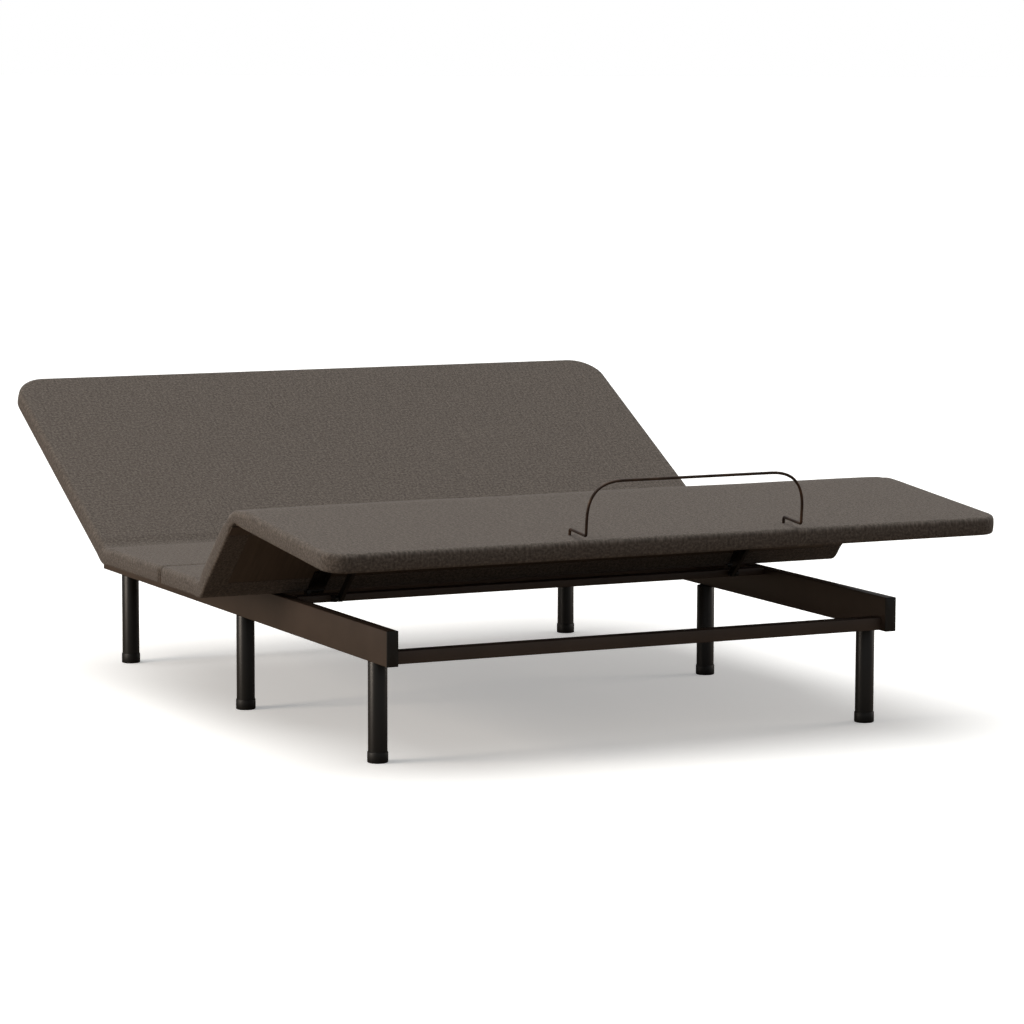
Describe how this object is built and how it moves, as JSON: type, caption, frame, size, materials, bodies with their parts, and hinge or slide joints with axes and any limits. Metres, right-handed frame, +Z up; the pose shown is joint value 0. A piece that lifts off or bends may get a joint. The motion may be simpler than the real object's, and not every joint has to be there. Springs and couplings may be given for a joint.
{
  "type": "adjustable bed base",
  "caption": "Low queen-size adjustable bed base: upholstered deck folding at back, thigh and knee on a brown steel frame with round black legs and a wire mattress retainer.",
  "frame": {"origin": "on the floor, at the middle of the raised base's bounding box", "axes": "+Z up, +Y towards the head end, +X to the right for somebody who looks from the foot end"},
  "size_m": [1.524, 1.9328, 0.6496],
  "materials": {
    "box_plastic": "moulded black housing",
    "cap_plastic": "moulded black plug",
    "drive_plastic": "moulded black housing",
    "foot_plastic": "moulded black foot",
    "frame_paint": "semi-gloss dark brown powder coat",
    "leg_paint": "semi-gloss black powder coat",
    "lever_paint": "black powder coat",
    "plywood": "sanded plywood",
    "retainer_paint": "dark bronze lacquer",
    "rod_steel": "ground steel",
    "woven_fabric": "taupe-grey heathered weave"
  },
  "bodies": {
    "frame": {"back_drive_bracket": "lever_paint", "back_hinge_left": "lever_paint", "back_hinge_right": "lever_paint", "control_box": "box_plastic", "foot_cross_tube": "frame_paint", "foot_pad_left_foot": "foot_plastic", "foot_pad_left_head": "foot_plastic", "foot_pad_left_middle": "foot_plastic", "foot_pad_right_foot": "foot_plastic", "foot_pad_right_head": "foot_plastic", "foot_pad_right_middle": "foot_plastic", "head_cross_tube": "frame_paint", "leg_left_foot": "leg_paint", "leg_left_head": "leg_paint", "leg_left_middle": "leg_paint", "leg_right_foot": "leg_paint", "leg_right_head": "leg_paint", "leg_right_middle": "leg_paint", "link_bracket_left": "lever_paint", "link_bracket_right": "lever_paint", "middle_cross_tube": "frame_paint", "rail_cap_left_foot": "cap_plastic", "rail_cap_left_head": "cap_plastic", "rail_cap_right_foot": "cap_plastic", "rail_cap_right_head": "cap_plastic", "rail_left": "frame_paint", "rail_right": "frame_paint", "seat_board_front": "plywood", "seat_board_rear": "plywood", "seat_cross_tube": "frame_paint", "seat_pad_front": "woven_fabric", "seat_pad_rear": "woven_fabric", "thigh_cross_tube": "frame_paint", "thigh_drive_bracket": "lever_paint", "thigh_hinge_left": "lever_paint", "thigh_hinge_right": "lever_paint"},
    "back": {"back_board": "plywood", "back_pad": "woven_fabric", "back_arm_left": "lever_paint", "back_arm_right": "lever_paint", "back_lever": "lever_paint"},
    "thigh": {"thigh_board": "plywood", "thigh_pad": "woven_fabric", "thigh_arm_left": "lever_paint", "thigh_arm_right": "lever_paint", "thigh_lever": "lever_paint"},
    "leg_section": {"leg_board": "plywood", "leg_pad": "woven_fabric", "leg_bracket_left": "lever_paint", "leg_bracket_right": "lever_paint"},
    "retainer": {"retainer_bar": "retainer_paint"},
    "link_left": {"leg_link_left": "lever_paint"},
    "link_right": {"leg_link_right": "lever_paint"},
    "back_drive": {"back_actuator_housing": "drive_plastic", "back_actuator_motor": "drive_plastic"},
    "back_rod": {"back_actuator_rod": "rod_steel"},
    "thigh_drive": {"thigh_actuator_housing": "drive_plastic", "thigh_actuator_motor": "drive_plastic"},
    "thigh_rod": {"thigh_actuator_rod": "rod_steel"}
  },
  "joints": [
    {"name": "back_raise", "type": "hinge", "parent": "frame", "child": "back", "pos_m": [0, 0.34486, 0.285], "axis": [1, 0, 0], "range_deg": [-28, 32]},
    {"name": "thigh_raise", "type": "hinge", "parent": "frame", "child": "thigh", "pos_m": [0, -0.25215, 0.285], "axis": [-1, 0, 0], "range_deg": [-43, 2]},
    {"name": "leg_fold", "type": "hinge", "parent": "thigh", "child": "leg_section", "pos_m": [0, -0.43937, 0.45959], "axis": [1, 0, 0], "range_deg": [-48.2, 2.3]},
    {"name": "link_swing_left", "type": "hinge", "parent": "frame", "child": "link_left", "pos_m": [-0.468, -0.30915, 0.273], "axis": [-1, 0, 0], "range_deg": [-45, 2.2]},
    {"name": "link_swing_right", "type": "hinge", "parent": "frame", "child": "link_right", "pos_m": [0.468, -0.30915, 0.273], "axis": [-1, 0, 0], "range_deg": [-45, 2.2]},
    {"name": "back_drive_swing", "type": "hinge", "parent": "frame", "child": "back_drive", "pos_m": [0, -0.01414, 0.25], "axis": [1, 0, 0], "range_deg": [-1, 1]},
    {"name": "back_rod_slide", "type": "slide", "parent": "back_drive", "child": "back_rod", "axis": [0, 0.9965, -0.0833], "range_m": [-0.034, 0.039]},
    {"name": "thigh_drive_swing", "type": "hinge", "parent": "frame", "child": "thigh_drive", "pos_m": [-0.5193, 0.10586, 0.2175], "axis": [1, 0, 0], "range_deg": [-2.9, 0.5]},
    {"name": "thigh_rod_slide", "type": "slide", "parent": "thigh_drive", "child": "thigh_rod", "axis": [0, -0.9994, 0.0349], "range_m": [-0.0385, 0.002]},
    {"name": "retainer_lift", "type": "slide", "parent": "leg_section", "child": "retainer", "axis": [0, -0.0889, 0.996], "range_m": [0, 0.04]}
  ],
  "couplings": [
    {"joint": "leg_fold", "follows": "thigh_raise", "ratio": 1.1186},
    {"joint": "link_swing_left", "follows": "thigh_raise", "ratio": 1.04},
    {"joint": "link_swing_right", "follows": "thigh_raise", "ratio": 1.04},
    {"joint": "back_drive_swing", "follows": "back_raise", "ratio": 0.02289},
    {"joint": "back_rod_slide", "follows": "back_raise", "m_per_rad": 0.06872},
    {"joint": "thigh_drive_swing", "follows": "thigh_raise", "ratio": 0.06354},
    {"joint": "thigh_rod_slide", "follows": "thigh_raise", "m_per_rad": 0.049141}
  ]
}
